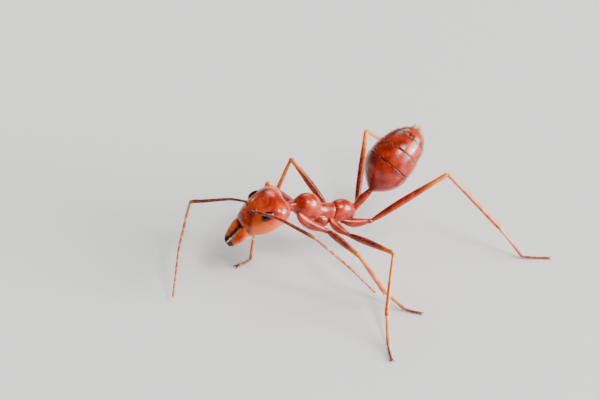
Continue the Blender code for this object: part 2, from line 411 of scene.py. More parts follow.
# %% Places for pieces
def plate_frame(origin, forward):
    """Local axes of a body plate, in mm: Z along forward, Y up, and X level across the body."""
    left = Vector((0, 0, 1)).cross(forward).normalized()
    axes = Matrix((left, forward.cross(left), forward)).transposed().to_4x4()
    return Matrix.Translation(origin) @ axes @ Matrix.Scale(MM, 4)


def limb_frame(start, end):
    """Local axes of a limb: Z from its start to its end, Y on its upper side, in mm."""
    along = (end - start).normalized()
    across = Vector((0, 0, 1)).cross(along).normalized()
    axes = Matrix((across, along.cross(across), along)).transposed().to_4x4()
    return Matrix.Translation(start) @ axes @ Matrix.Scale(MM, 4)


def finish(piece, material, *replaced):
    """Give a placed piece its material and its body, and hide the CAD nodes it stands for."""
    piece.data.materials.clear()
    piece.data.materials.append(material)
    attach(piece, "root")
    if replaced:
        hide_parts(*replaced)
    return piece


# %% [markdown]
# ## The finishes
# Ant chitin is a thin, clear, amber shell over darker flesh. It looks deep red where it is thick, and
# amber where it is thin, with a hard gloss over a faint net of cells. One node group makes the
# cloudy colour, and a second one the net and the uneven gloss. Both take the place on the piece as an
# input, so every plate carries the pattern at the same scale.


# %% Node groups for chitin
def new_group(name, inputs, outputs):
    """An empty shader node group with these (name, socket type, default) sockets."""
    group = bpy.data.node_groups.new(name, "ShaderNodeTree")
    for label, kind, value in inputs:
        socket = group.interface.new_socket(label, in_out="INPUT", socket_type=kind)
        if value is not None:
            socket.default_value = value
    for label, kind in outputs:
        group.interface.new_socket(label, in_out="OUTPUT", socket_type=kind)
    return group, group.nodes.new("NodeGroupInput"), group.nodes.new("NodeGroupOutput")


def mix_colours(tree, factor, first, second):
    """A colour Mix node: its colour sockets share their names with others, so they go by number."""
    node = add_node(tree, "Mix")
    node.data_type = "RGBA"
    for index, value in ((0, factor), (6, first), (7, second)):
        feed(node.inputs[index], value)
    return node.outputs[2]


def map_range(tree, value, low, high, to_low, to_high):
    """A smooth step from one range of values to another."""
    node = add_node(
        tree, "MapRange", Value=value, From_Min=low, From_Max=high, To_Min=to_low, To_Max=to_high)
    node.interpolation_type = "SMOOTHSTEP"
    return node.outputs["Result"]


def noise(tree, place, scale, detail=3.0):
    """A cloudy value, 0 to 1."""
    return add_node(tree, "TexNoise", Vector=place, Scale=scale, Detail=detail).outputs["Fac"]


CLOUD_SCALE = 2600
MOTTLE_SCALE = 16000
UNEVEN_SCALE = 4420
NET_SCALE = 52000
MOTTLE_SHARE = 0.22

tones, tones_in, tones_out = new_group(
    "chitin_tones",
    [("Place", "NodeSocketVector", None), ("Deep", "NodeSocketColor", (0.3, 0.02, 0.0, 1)),
     ("Bright", "NodeSocketColor", (0.6, 0.1, 0.0, 1)), ("Mark", "NodeSocketColor", (0.1, 0.01, 0.0, 1)),
     ("Mark mask", "NodeSocketFloat", 0.0)],
    [("Color", "NodeSocketColor")])
place, deep, bright, dark, mask = [tones_in.outputs[index] for index in range(5)]
cloud = map_range(tones, noise(tones, place, CLOUD_SCALE), 0.32, 0.68, 0.0, 1.0)
mottle = map_range(tones, noise(tones, place, MOTTLE_SCALE), 0.3, 0.7, 0.0, MOTTLE_SHARE)
shade = mix_colours(tones, mottle, mix_colours(tones, cloud, deep, bright), deep)
set_inputs(tones_out, Color=mix_colours(tones, mask, shade, dark))

grain, grain_in, grain_out = new_group(
    "chitin_net", [("Place", "NodeSocketVector", None)],
    [("Height", "NodeSocketFloat"), ("Uneven", "NodeSocketFloat")])
place = grain_in.outputs["Place"]
cells = add_node(grain, "TexVoronoi", Vector=place, Scale=NET_SCALE)
cells.feature = "DISTANCE_TO_EDGE"
net = map_range(grain, cells.outputs["Distance"], 0.0, 0.25, 0.0, 1.0)
set_inputs(grain_out, Height=net, Uneven=noise(grain, place, UNEVEN_SCALE, 4.0))
print("node groups:", [group.name for group in bpy.data.node_groups])


# %% [markdown]
# Each finish sets its own colours on those groups. The mark colour follows a painted mask that each
# piece carries as an attribute: the dark hind rim of a gaster ring, the amber of a knee, the black
# tips of the teeth, and also painted shade: in the pits of the spiracles and the feeler sockets, in
# the collar groove, and in the seams where a plate slips under the one before it.


# %% Chitin materials
NET_DEPTH = 0.0000007
LIGHT_REACH = (1.0, 0.20, 0.04)
LIGHT_DEPTH = 0.00022
SHINIER, DULLER = 0.05, 0.09


def add_group(tree, group, **values):
    """A node for one of the groups, with its inputs fed."""
    node = add_node(tree, "Group")
    node.node_tree = group
    set_inputs(node, **values)
    return node


def chitin(name, deep, bright, dark, dullness, see_through=0.10):
    """A polished chitin: two body tones, a mark tone, how dull it is and how much light it lets in."""
    material, tree, shader = new_material(name)
    place = add_node(tree, "TexCoord").outputs["Object"]
    mask = add_node(tree, "Attribute")
    mask.attribute_name = "mark"
    tone = add_group(
        tree, tones, Place=place, Deep=(*deep, 1), Bright=(*bright, 1), Mark=(*dark, 1),
        Mark_mask=mask.outputs["Fac"])
    skin = add_group(tree, grain, Place=place)
    rough = map_range(tree, skin.outputs["Uneven"], 0.3, 0.7, dullness - SHINIER, dullness + DULLER)
    bump = add_node(tree, "Bump", Strength=0.6, Distance=NET_DEPTH, Height=skin.outputs["Height"])
    set_inputs(
        shader, Base_Color=tone.outputs["Color"], Roughness=rough, Normal=bump.outputs["Normal"],
        Subsurface_Weight=see_through, Subsurface_Radius=LIGHT_REACH, Subsurface_Scale=LIGHT_DEPTH,
        Specular_IOR_Level=0.46, Coat_Weight=0.12, Coat_Roughness=0.10)
    return material


FINISHES = {
    "red_shell": ((0.15, 0.004, 0.0001), (0.38, 0.021, 0.0001), (0.045, 0.002, 0.0002), 0.20),
    "head_shell": ((0.19, 0.006, 0.0001), (0.50, 0.036, 0.0001), (0.56, 0.072, 0.0001), 0.19),
    "gaster_shell": ((0.12, 0.002, 0.0001), (0.37, 0.017, 0.0001), (0.030, 0.001, 0.0001), 0.18),
    "leg_shell": ((0.15, 0.004, 0.0001), (0.33, 0.018, 0.0001), (0.70, 0.15, 0.0006), 0.23),
    "shin_shell": ((0.42, 0.062, 0.0004), (0.74, 0.185, 0.0008), (0.26, 0.020, 0.0004), 0.27),
    "toe_shell": ((0.16, 0.010, 0.001), (0.36, 0.036, 0.002), (0.04, 0.003, 0.001), 0.30),
    "feeler_shell": ((0.30, 0.035, 0.005), (0.52, 0.11, 0.02), (0.80, 0.40, 0.16), 0.36),
    "scape_shell": ((0.10, 0.006, 0.0005), (0.24, 0.020, 0.001), (0.60, 0.20, 0.04), 0.26),
    "jaw_shell": ((0.36, 0.020, 0.0004), (0.78, 0.12, 0.001), (0.008, 0.001, 0.001), 0.20),
}
shells = {name: chitin(name, *tones_and_gloss) for name, tones_and_gloss in FINISHES.items()}
print("finishes:", list(shells))


def held(value):
    """The value, held between 0 and 1."""
    return max(0.0, min(1.0, value))


def mark(piece, amount=0.0):
    """Paint the mark mask with one number, or with a function of a point in the piece's mesh."""
    layer = piece.data.attributes.get("mark") or piece.data.attributes.new("mark", "FLOAT", "POINT")
    for vertex, slot in zip(piece.data.vertices, layer.data):
        slot.value = held(amount(vertex.co) if callable(amount) else amount)


def ramp(value, low, high):
    """0 below low, 1 above high, and a smooth rise between. Turned round when low is above high."""
    share = held((value - low) / (high - low))
    return share * share * (3 - 2 * share)


# %% [markdown]
# ## The head
# A major worker's head is a broad, flat, heart-shaped capsule. It is widest behind the eyes, where
# the jaw muscles fill it, and narrows to the mouth. A row of oval rings gives that outline from the
# top and from the side at once. The two lobes at the back, the raised face and the cheeks are then
# pulled out one by one, because they aren't ovals.

# %% Head capsule
def from_neck(cap):
    """How far a cap is from the neck."""
    return (cap[0] - neck_place).length


nape = min(caps("head"), key=from_neck)[0]
mouth, head_forward = max(caps("head"), key=from_neck)
head_up = head_forward.cross(Vector((1, 0, 0))).normalized()
NAPE_RISE = 0.02
head_place = plate_frame(nape - head_up * NAPE_RISE * MM, head_forward)
print("head length:", round((mouth - nape).length / MM, 2), "mm, forward:", head_forward)

HEAD_STATIONS = [
    (0.07, 0.26, 0.14, 0.01), (0.1, 0.48, 0.29, 0.01), (0.165, 0.655, 0.41, 0.01),
    (0.29, 0.785, 0.515, 0.015), (0.47, 0.855, 0.585, 0.02), (0.68, 0.87, 0.61, 0.015),
    (0.92, 0.85, 0.61, 0.01), (1.16, 0.79, 0.575, -0.005), (1.38, 0.705, 0.505, -0.02),
    (1.58, 0.615, 0.42, -0.045), (1.72, 0.53, 0.345, -0.065), (1.79, 0.43, 0.27, -0.08),
]
head = loft("head_capsule", HEAD_STATIONS, sides=24, levels=1)
for side in (1, -1):
    # On each side: the lobe at the back, the cheek, and the muscle behind the eye.
    pull(head, (side * 0.46, 0.02, 0.10), (0, 0, -0.055), 0.42)
    pull(head, (side * 0.60, -0.30, 1.20), (side * 0.015, -0.03, 0), 0.45)
    pull(head, (side * 0.72, 0.20, 0.35), (side * 0.02, 0.03, 0), 0.40)
# On the middle line: the dip between the lobes, the raised face, and the flatter throat.
pull(head, (0, -0.10, 0.07), (0, 0, 0.06), 0.30)
pull(head, (0, 0.55, 1.10), (0, 0.035, 0), 0.40)
pull(head, (0, -0.60, 0.8), (0, 0.05, 0), 0.55)

# The clypeus is the shield over the jaws: its faces are inset and raised as one plate.
CLYPEUS_BACK = 1.36
CLYPEUS_MIDDLE = 1.62
CLYPEUS_FRONT = 1.80
CLYPEUS_HALF = 0.40


def on_clypeus(spot, normal):
    wide = CLYPEUS_HALF - 0.35 * abs(spot.z - CLYPEUS_MIDDLE)
    return spot.y > 0.05 and abs(spot.x) < wide and CLYPEUS_BACK < spot.z < CLYPEUS_FRONT


with editing(head, on_clypeus):
    inset_twice((0.022, -0.014), (0.030, 0.040))
smooth(head, 1)


def cheek(spot):
    """The amber side of the face: from the sockets down, below the eyes, and back to the jaw muscles."""
    inner = 0.25 + 0.22 * ramp(spot.z, 1.30, 1.60)
    upper = 0.54 - 0.34 * ramp(spot.z, 1.14, 0.92)
    side = ramp(abs(spot.x), inner, inner + 0.16) * ramp(upper - spot.y, 0.0, 0.22)
    return side * ramp(spot.z, 0.24, 0.80) * ramp(spot.z, 1.86, 1.72)


mark(head, cheek)
print("head faces:", len(head.data.polygons))


# %% [markdown]
# Two low ridges, the frontal carinae, run back from the feeler sockets. Each socket is a round rim
# with a pit painted near black as the shade in the socket, and the feeler's ball sits in it.

# %% Ridges and sockets of the face
face_tree = ray_tree(head)


def on_face(x, z, lift=0.0):
    """The point of the head's upper surface above (x, z), raised by lift, and its normal."""
    place, normal, _, _ = face_tree.ray_cast(Vector((x, 3, z)), Vector((0, -1, 0)))
    return place + normal * lift, normal


SOCKET_X = 0.235
SOCKET_Z = 1.20
SINK = 0.004
RIDGE = ((0.165, 1.34), (0.15, 1.22), (0.18, 1.08), (0.235, 0.94), (0.275, 0.80), (0.29, 0.66))
RIDGE_HALF = (0.012, 0.030, 0.034, 0.028, 0.020, 0.006)
details = []
sockets = {}
for side in (1, -1):
    points = [on_face(side * x, z, SINK)[0] for x, z in RIDGE]
    details.append(tube("frontal_ridge", points, RIDGE_HALF, sides=3))
    centre, normal = on_face(side * SOCKET_X, SOCKET_Z, -SINK)
    rim = torus(0.098, 0.024, 28, 10)
    stretch(rim, 1.0, 1.15, 1.0)
    move_by(rim, Matrix.Translation(centre) @ turned_to(normal))
    details.append(rim)
    sockets[side] = (centre, normal)
for piece in details:
    mark(piece)
head = join("head_capsule", [head] + details)
move_by(head, head_place)
finish(head, shells["head_shell"], "head")

# Each socket's pit is painted near black with the jaws' mark tone: painted shade round the feeler's ball.
pits = []
for side in (1, -1):
    centre, normal = sockets[side]
    pit = ball(0.082, 20, 10)
    stretch(pit, 1.0, 1.0, 0.35)
    move_by(pit, head_place @ Matrix.Translation(centre - normal * 0.006) @ turned_to(normal))
    pits.append(pit)
pits = join("socket_membranes", pits)
mark(pits, 1.0)
finish(pits, shells["jaw_shell"])
print("sockets at", [centre for centre, _ in sockets.values()], "mm on the head")


# %% [markdown]
# ## The eyes
# A compound eye is a dome of hundreds of six-sided lenses. The dome is an oval sphere sunk in the
# side of the head, and the lenses are a fine bump, because each is only a fiftieth of a millimetre
# across. A low rim of chitin holds the dome.


# %% Eye material
LENS_SCALE = 42000
LENS_HEIGHT = 0.0000025
eye_black, eye_tree, eye_shader = new_material("eye_black")
eye_place = add_node(eye_tree, "TexCoord").outputs["Object"]
lens = add_node(eye_tree, "TexVoronoi", Vector=eye_place, Scale=LENS_SCALE).outputs["Distance"]
eye_tone = mix_colours(
    eye_tree, map_range(eye_tree, lens, 0.1, 0.6, 0.0, 1.0),
    (0.005, 0.003, 0.003, 1), (0.002, 0.001, 0.001, 1))
eye_bump = add_node(eye_tree, "Bump", Distance=-LENS_HEIGHT, Strength=0.5, Height=lens)
set_inputs(
    eye_shader, Base_Color=eye_tone, Normal=eye_bump.outputs["Normal"], Roughness=0.16,
    Specular_IOR_Level=0.10, Coat_Weight=0.50, Coat_Roughness=0.05)

print("eye material:", eye_black.name)

# %% Domes and rims of the eyes
EYE_SEAT = (0.630, 0.330, 0.87)
EYE_HALF = (0.140, 0.158, 0.243)
RIM_HALF = (0.156, 0.238, 0.15)
RIM_LIFT = 0.028
for side, name in ((1, "eye_left"), (-1, "eye_right")):
    outward = Vector((side * 0.72, 0.69, 0.0)).normalized()
    bpy.ops.mesh.primitive_ico_sphere_add(subdivisions=5, radius=1)
    eye = bpy.context.object
    stretch(eye, *EYE_HALF)
    lean = Matrix((outward, Vector((0, 0, 1)).cross(outward), Vector((0, 0, 1)))).transposed().to_4x4()
    seat = Vector((side * EYE_SEAT[0], EYE_SEAT[1], EYE_SEAT[2]))
    move_by(eye, head_place @ Matrix.Translation(seat) @ lean)
    bpy.ops.object.shade_smooth()
    eye.name = "compound_" + name
    finish(eye, eye_black, name)
    rim = torus(1, 0.085, 40, 8)
    stretch(rim, *RIM_HALF)
    turned = lean @ Matrix.Rotation(math.radians(90), 4, "Y") @ Matrix.Rotation(math.radians(90), 4, "Z")
    move_by(rim, head_place @ Matrix.Translation(seat + outward * RIM_LIFT) @ turned)
    rim.name = "rim_" + name
    mark(rim)
    finish(rim, shells["head_shell"])
print("eyes at:", middle_of("eye_left"), middle_of("eye_right"))


# %% [markdown]
# ## The jaws
# The mandibles are flat three-sided blades with toothed inner edges and long end teeth. Here they
# stand slightly open. One blade is lofted from its hinge to its point, each face of its inner edge is
# inset into a tooth, and the other jaw is its mirror image.

# %% Mandibles
JAW_ROWS = [
    (1.64, 0.44, 0.14, 0.17, -0.07), (1.75, 0.475, 0.1, 0.2, -0.08), (1.86, 0.49, 0.06, 0.205, -0.1),
    (1.95, 0.485, 0.045, 0.195, -0.125), (2.03, 0.475, 0.042, 0.18, -0.15),
    (2.1, 0.455, 0.04, 0.163, -0.175), (2.17, 0.43, 0.038, 0.146, -0.2),
    (2.23, 0.4, 0.035, 0.13, -0.22), (2.29, 0.365, 0.03, 0.114, -0.24),
    (2.36, 0.33, 0.02, 0.098, -0.265), (2.43, 0.285, 0.0, 0.08, -0.29),
    (2.49, 0.215, -0.03, 0.058, -0.312), (2.54, 0.125, -0.06, 0.03, -0.33),
]
JAW_HINGE = (0.34, 1.72)
JAW_OPENING = 4.6
JAW_OVERLAP = 0.010
rows = [(z, (out - inner) / 2, thick, rise, (out + inner) / 2) for z, out, inner, thick, rise in JAW_ROWS]
jaw = loft("jaw", rows, sides=14, levels=0)
with editing(jaw, lambda spot, normal: normal.x < -0.80 and 1.90 < spot.z < 2.44):
    inset_twice((0.010, 0.024), (0.010, 0.032), each=True)
smooth(jaw, 2)
# Dark: the teeth along the inner edge, the end teeth, and the keel under the blade.
mark(jaw, lambda spot: max(
    ramp(spot.x, 0.11, 0.045) * ramp(spot.z, 1.84, 1.95), ramp(spot.z, 2.32, 2.43),
    0.75 * ramp(-spot.y - 0.32 * spot.z, -0.37, -0.29) * ramp(spot.z, 1.84, 2.0)))
for side, name in ((1, "mandible_left"), (-1, "mandible_right")):
    half = copy_of(jaw, "toothed_" + name)
    hinge = Matrix.Translation((side * JAW_HINGE[0], 0, JAW_HINGE[1]))
    opened = hinge @ Matrix.Rotation(math.radians(side * JAW_OPENING), 4, "Y") @ hinge.inverted()
    apart = Matrix.Translation((0, JAW_OVERLAP * side, 0))
    move_by(half, head_place @ apart @ opened @ Matrix.Diagonal((side, 1, 1, 1)))
    finish(half, shells["jaw_shell"], name)
bpy.data.objects.remove(jaw)
print("jaws open by", JAW_OPENING, "degrees each")

# %% [markdown]
# Under the jaws lie the folded lower lip, and the thin jointed palps that feel the food. A palp is a
# tapering tube with a swelling at each joint.

# %% Lip and palps
lip = loft("lower_lip", [
    (1.52, 0.2, 0.1, -0.34), (1.62, 0.25, 0.13, -0.32), (1.74, 0.24, 0.13, -0.3),
    (1.84, 0.18, 0.1, -0.29), (1.9, 0.1, 0.06, -0.29)], sides=16, levels=2)
mark(lip)
PALPS = ((0.19, 1.70, 0.34, 0.020), (0.09, 1.82, 0.24, 0.016))
palps = []
for side in (1, -1):
    for x, z, reach, thick in PALPS:
        points, radii = [], []
        for step in range(5):
            share = step / 4
            onward = z + 0.10 * share - 0.16 * share * share
            points.append((side * (x + 0.05 * share), -0.36 - reach * share, onward))
            radii.append(thick * (1 - 0.45 * share) * (0.75 if step % 2 else 1.0))
        palps.append(tube("palp", points, radii, sides=1))
palps = join("palps", palps)
mark(palps, 1.0)
for piece, tone in ((lip, shells["head_shell"]), (palps, shells["feeler_shell"])):
    move_by(piece, head_place)
    finish(piece, tone)
print("palp faces:", len(palps.data.polygons))


# %% [markdown]
# ## The thorax
# Three plates stand for the thorax: the long pronotum with its neck, the narrow saddle of the
# mesothorax, and the domed propodeum. They are hard plates with real seams, so each one is its own
# piece, and each front edge slips a little way under the plate before it.

# %% Place and rows of the thorax
saddle_front = max(caps("mesothorax"), key=lambda item: -item[0].y)
thorax_forward = saddle_front[1]
thorax_up = thorax_forward.cross(Vector((1, 0, 0))).normalized()
SADDLE_FRONT_AT = Vector((0, -0.10, 0.22)) * MM
thorax_place = plate_frame(
    saddle_front[0] - thorax_forward * SADDLE_FRONT_AT.z - thorax_up * SADDLE_FRONT_AT.y, thorax_forward)

PRONOTUM_ROWS = [
    (0.16, 0.22, 0.27, -0.06), (0.22, 0.3, 0.365, -0.045), (0.27, 0.335, 0.415, 0.0),
    (0.36, 0.368, 0.445, 0.055), (0.5, 0.415, 0.475, 0.115), (0.66, 0.44, 0.48, 0.145),
    (0.8, 0.43, 0.46, 0.15), (0.94, 0.385, 0.41, 0.145), (1.05, 0.31, 0.335, 0.14),
    (1.15, 0.235, 0.26, 0.135), (1.22, 0.185, 0.205, 0.125), (1.27, 0.195, 0.21, 0.12),
    (1.33, 0.17, 0.185, 0.12), (1.42, 0.15, 0.16, 0.13), (1.56, 0.12, 0.13, 0.155),
]
SADDLE_ROWS = [
    (-0.46, 0.2, 0.24, -0.08), (-0.4, 0.265, 0.325, -0.08), (-0.33, 0.292, 0.35, -0.095),
    (-0.22, 0.288, 0.34, -0.115), (-0.08, 0.262, 0.32, -0.125), (0.06, 0.262, 0.33, -0.115),
    (0.16, 0.285, 0.355, -0.095), (0.24, 0.29, 0.36, -0.08), (0.32, 0.24, 0.3, -0.08),
]
PROPODEUM_ROWS = [
    (-1.27, 0.13, 0.14, -0.1), (-1.23, 0.2, 0.205, -0.1), (-1.14, 0.27, 0.29, -0.085),
    (-1.02, 0.325, 0.36, -0.06), (-0.86, 0.368, 0.415, -0.035), (-0.7, 0.378, 0.425, -0.03),
    (-0.56, 0.36, 0.41, -0.045), (-0.45, 0.322, 0.38, -0.065), (-0.38, 0.285, 0.345, -0.08),
    (-0.32, 0.22, 0.27, -0.08),
]
print("thorax from", thorax_place.translation)


# %% Side panels, bulges and spiracles
def groove(piece, chosen, width, depth):
    """Press a seam round the faces that are chosen by place: they are inset, and the rim is sunk."""
    with editing(piece, chosen):
        inset_twice((width, -depth), (width, depth * 1.6))


# Each plate has its rows, its side panel as (inner edge, top, back, front, seam width), and the dark
# of its hind edge and its front seam, as a function of the place along it. The dark of the front seam
# is painted shade: in the pronotum's collar groove, and on the front edges of the saddle and the
# propodeum where they slip under the plate before them.
PLATES = {
    "pronotum": (
        PRONOTUM_ROWS, (0.12, -0.07, 0.34, 1.02, 0.014),
        lambda z: max(ramp(z, 0.26, 0.19), 0.8 * ramp(abs(z - 1.245), 0.05, 0.015))),
    "mesothorax": (
        SADDLE_ROWS, (0.10, -0.10, -0.22, 0.22, 0.012),
        lambda z: max(ramp(z, -0.36, -0.42), 0.7 * ramp(z, 0.17, 0.24))),
    "propodeum": (
        PROPODEUM_ROWS, (0.12, -0.20, -1.05, -0.50, 0.014),
        lambda z: max(ramp(z, -1.16, -1.24), 0.7 * ramp(z, -0.43, -0.36))),
}
# The side plates over the leg muscles bulge low on the saddle and at the propodeum's hind corner.
BULGES = {
    "mesothorax": ((0.190, -0.360, 0.02), (0.150, 0.245, 0.290)),
    "propodeum": ((0.225, -0.330, -0.90), (0.120, 0.150, 0.230)),
}
BULGE_ROLL = 14
BULGE_PITCH = -8
# Spiracles, the breathing holes: a raised oval rim with a pit painted dark as the shade of the
# opening, on the saddle and the propodeum.
SPIRACLES = {"mesothorax": (0.10, 0.01, 0.034), "propodeum": (-0.76, 0.02, 0.046)}
SEAM_DEPTH = 0.012
print("plates:", list(PLATES), "with spiracles:", list(SPIRACLES))

# %% Plates of the thorax
for name, (rows, (inner, top, start, end, width), dark) in PLATES.items():
    plate = loft(name + "_plate", rows, sides=24)
    for side in (1, -1):
        groove(plate, lambda spot, normal: (
            side * spot.x > inner and spot.y < top and start < spot.z < end), width, SEAM_DEPTH)
    smooth(plate)
    mark(plate, lambda spot: dark(spot.z))
    details = []
    if name in BULGES:
        (x, y, z), half = BULGES[name]
        for side in (1, -1):
            bulge = ball(1, 28, 18)
            stretch(bulge, *half)
            pull(bulge, (0, -half[1], 0), (0, 0.04, 0.03), 0.16)
            lean = Matrix.Rotation(math.radians(side * BULGE_ROLL), 4, "Z")
            lean = lean @ Matrix.Rotation(math.radians(BULGE_PITCH), 4, "X")
            move_by(bulge, Matrix.Translation((side * x, y, z)) @ lean)
            mark(bulge)
            details.append(bulge)
    if name in SPIRACLES:
        z, y, size = SPIRACLES[name]
        tree = ray_tree(plate)
        for side in (1, -1):
            spot, normal, _, _ = tree.ray_cast(Vector((side * 2, y, z)), Vector((-side, 0, 0)))
            rim = torus(size, size * 0.3, 24, 8)
            stretch(rim, 0.72, 1.2, 0.8)
            pit = ball(size * 0.9, 16, 8)
            stretch(pit, 0.70, 1.15, 0.14)
            # The pit takes the full mark: painted shade for the opening of the breathing hole.
            for hole, tone in ((rim, 0.15), (pit, 1.0)):
                move_by(hole, Matrix.Translation(spot) @ turned_to(normal))
                mark(hole, tone)
            details += [rim, pit]
    plate = join(name + "_plate", [plate] + details)
    move_by(plate, thorax_place)
    finish(plate, shells["red_shell"], name)
    print(plate.name, "faces:", len(plate.data.polygons))


# %% [markdown]
# ## The waist
# A slim petiole with a low node lets the ant tip its gaster up. It is one lofted piece with a length
# of 1, stretched to the place that the CAD gives, so it keeps its shape if the pose is changed. A
# short neck, the helcium, joins its top to the gaster, and is a tube because it bends.

# %% Petiole and helcium
PETIOLE_ROWS = [
    (-0.06, 0.09, 0.1), (0.0, 0.12, 0.13), (0.1, 0.135, 0.145), (0.22, 0.122, 0.13, 0.005),
    (0.38, 0.126, 0.14, 0.015), (0.54, 0.144, 0.172, 0.035), (0.66, 0.15, 0.185, 0.045),
    (0.78, 0.14, 0.165, 0.03), (0.9, 0.126, 0.138, 0.01), (1.0, 0.13, 0.138), (1.08, 0.09, 0.1),
]
WAIST_START = Vector((0, -0.10, -1.16))
SLIMMER = 0.9
NECK_OVERLAP = 0.15
NECK_HALF = (0.100, 0.102, 0.108, 0.12)

gaster_root, root_way = min(caps("gaster_1"), key=lambda item: item[0].z)
waist_top = cap_near("petiole", gaster_root)
waist_foot = thorax_place @ WAIST_START
petiole_length = (waist_top - waist_foot).length / MM
petiole = loft("petiole_node", PETIOLE_ROWS, sides=20, levels=2)
mark(petiole, lambda spot: max(0.8 * ramp(spot.z, 0.06, 0.0), 0.8 * ramp(spot.z, 0.93, 1.0)))
stretched = Matrix.Diagonal((SLIMMER, SLIMMER, petiole_length, 1))
move_by(petiole, limb_frame(waist_foot, waist_top) @ stretched)
up_waist = (waist_top - waist_foot).normalized()
neck_path = [
    waist_top - up_waist * NECK_OVERLAP * MM, waist_top, gaster_root,
    gaster_root - root_way * NECK_OVERLAP * MM]
helcium = tube("helcium", [point / MM for point in neck_path], NECK_HALF, sides=3)
mark(helcium, 0.5)
move_by(helcium, Matrix.Scale(MM, 4))
petiole = join("petiole_node", [petiole, helcium])
finish(petiole, shells["red_shell"], "petiole")
print("petiole length:", round(petiole_length, 2), "mm")


# %% [markdown]
# ## The gaster
# The gaster is an egg of four overlapping rings. Each ring ends in a thin dark lip over the next one,
# and each has an upper and a lower plate with a seam between them low on the side. A formula gives
# the egg's outline, and the seams come from the CAD, so each ring is a slice of the same egg.

# %% Outline and seams of the gaster
GASTER_NODES = ("gaster_1", "gaster_2", "gaster_3", "gaster_4")
gaster_tip = cap_far("gaster_4", gaster_root)
gaster_length = (gaster_tip - gaster_root).length / MM
tail_way = (gaster_tip - gaster_root).normalized()
gaster_place = plate_frame(gaster_root, tail_way)
WIDEST = 0.42
FATTEST = 0.845
ARCH = 0.13
ROOT_HALF = 0.14
TIP_HALF = 0.10
SHOULDER_CURVE = 2.4
TIP_CURVE = 1.85


def gaster_half(share):
    """Half the width at this share of the length: a round shoulder, a fat middle and a blunt tip."""
    if share < WIDEST:
        fall = ((WIDEST - share) / WIDEST) ** SHOULDER_CURVE
        return FATTEST - (FATTEST - ROOT_HALF) * fall
    fall = (share - WIDEST) / (1 - WIDEST)
    return TIP_HALF + (FATTEST - TIP_HALF) * math.sqrt(max(0.0, 1 - fall ** TIP_CURVE))


seams = []
for name in GASTER_NODES[1:]:
    first = cap_near(name, gaster_root)
    seams.append((first - gaster_root).length / MM / gaster_length)
seams = [0.0] + seams + [1.0]
print("gaster seams at", [round(seam, 3) for seam in seams], "of", round(gaster_length, 2), "mm")

# %% Gaster rings
# A ring starts a little inside the lip of the one before it, tucked in at its front edge.
RING_OVERLAP = 0.02
TUCKS = (0.0, 0.011, 0.014, 0.045)
LIP = 0.007
LIP_FOLD = ((0.012, 0.012), (0.006, 0.045), (-0.06, 0.10))
FLATNESS = 0.97
CROWDED_ROOT = 1.35
SIDE_SEAM_DROP = 0.30
SIDE_SEAM_STOP = 0.02
RIM_BANDS = (0.040, 0.045, 0.080)

for number, name in enumerate(GASTER_NODES):
    first, last = seams[number], seams[number + 1]
    root_ring, tip_ring = number == 0, number == 3
    rows = []
    steps = 9 if root_ring else 6
    for step in range(steps + 1):
        part = step / steps
        if root_ring:
            share = last * part ** CROWDED_ROOT
        else:
            share = first - RING_OVERLAP + (last - first + RING_OVERLAP) * part
        half = gaster_half(share) - TUCKS[number] * (1 - part) ** 3
        if not tip_ring:
            half += LIP * part ** 4
        rows.append((share * gaster_length, half, half * FLATNESS, ARCH * math.sin(math.pi * share)))
    if tip_ring:
        rows.append((gaster_length + 0.005, TIP_HALF * 0.75, TIP_HALF * 0.75))
    else:
        z, half_x, half_y, arch = rows[-1]
        for onward, inward in LIP_FOLD:
            rows.append((z + onward, half_x - inward, half_y - inward, arch))
    if root_ring:
        rows.insert(0, (-0.03, 0.10, 0.10))
    ring = loft(name + "_ring", rows, sides=32)
    front, rim = first * gaster_length, last * gaster_length
    low, high = rows[2][0], rim - SIDE_SEAM_STOP
    side_line = -SIDE_SEAM_DROP * gaster_half((first + last) / 2)
    groove(ring, lambda spot, normal: spot.y < side_line and low < spot.z < high, 0.016, SEAM_DEPTH)
    smooth(ring)
    if tip_ring:
        # The tip ring is darker at its front, where it slips under the lip before it: painted shade under
        # that lip.
        mark(ring, lambda spot: 0.80 * ramp(spot.z, front + 0.15, front + 0.08))
    else:
        band = RIM_BANDS[number]
        mark(ring, lambda spot: 0.85 * ramp(spot.z, rim - band, rim - band / 3))
    move_by(ring, gaster_place)
    finish(ring, shells["gaster_shell"], name)
    print(ring.name, "faces:", len(ring.data.polygons))

# %% Acidopore
# The tip ends in the acidopore, a short round nozzle that sprays acid.
nozzle = loft("acidopore", [
    (-0.12, 0.1, 0.1), (-0.02, 0.085, 0.085), (0.05, 0.06, 0.06), (0.085, 0.048, 0.048),
    (0.095, 0.036, 0.036), (0.08, 0.026, 0.026), (0.03, 0.018, 0.018)], sides=18, levels=1)
mark(nozzle, lambda spot: ramp(spot.z, 0.03, 0.08))
move_by(nozzle, gaster_place @ Matrix.Translation((0, 0, gaster_length - 0.03)))
finish(nozzle, shells["gaster_shell"])
print("acidopore at", nozzle.data.vertices[0].co)


# %% [markdown]
# ## The legs
# Each leg has the same chain: a pear-shaped coxa, a bead called the trochanter, a spindle-shaped
# femur, a thin tibia with a spur, and a foot of five joints with two claws and a pad. Each part is
# modelled once at a length of 1 along Z, and every leg gets its own copies, stretched between the
# joints that the CAD gives.

# %% Unit shapes for a leg
def unit(name, rows, painted, sides=14, levels=2):
    """A lofted part of a limb, with its marks painted."""
    shape = loft(name, rows, sides=sides, levels=levels)
    mark(shape, painted)
    return shape


